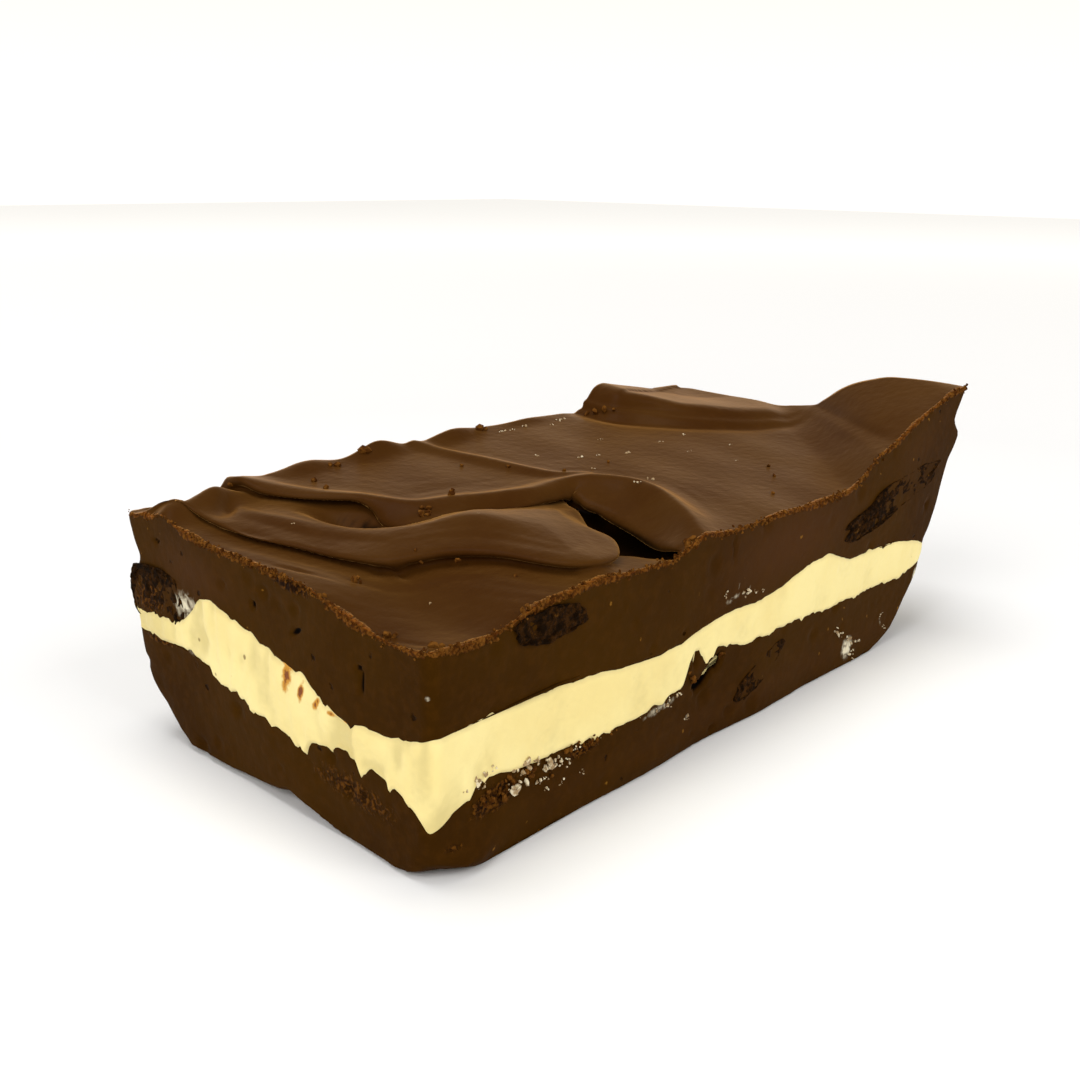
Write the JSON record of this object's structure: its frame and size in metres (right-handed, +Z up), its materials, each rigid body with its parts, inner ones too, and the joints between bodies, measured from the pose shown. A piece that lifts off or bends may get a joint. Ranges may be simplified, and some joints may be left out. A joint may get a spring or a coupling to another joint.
{
  "type": "layered chocolate fudge block",
  "caption": "Cut block of layered chocolate fudge with a pale cream filling, bits of dark cake in its cut sides and a folded, wavy top.",
  "frame": {"origin": "bottom centre of the block's bounding box, on the surface that it rests on", "axes": "+X along the block's long side, from the low end to the end with the raised lip; -Y out of the long cut side that shows its layers; +Z up"},
  "size_m": [0.1138, 0.0568, 0.038],
  "materials": {
    "fudge": "satin, dark brown, smooth where it was spread and close-grained where it was cut",
    "cream": "satin, pale yellow, smeared by the knife",
    "cake": "matt, almost black, porous"
  },
  "bodies": {
    "root": {"fudge_bottom": "fudge", "cream_filling": "cream", "fudge_top": "fudge", "cake_chunk_near": "cake", "cake_chunk_right": "cake", "cake_chunk_lower": "cake", "cake_chunk_left": "cake"}
  },
  "joints": []
}
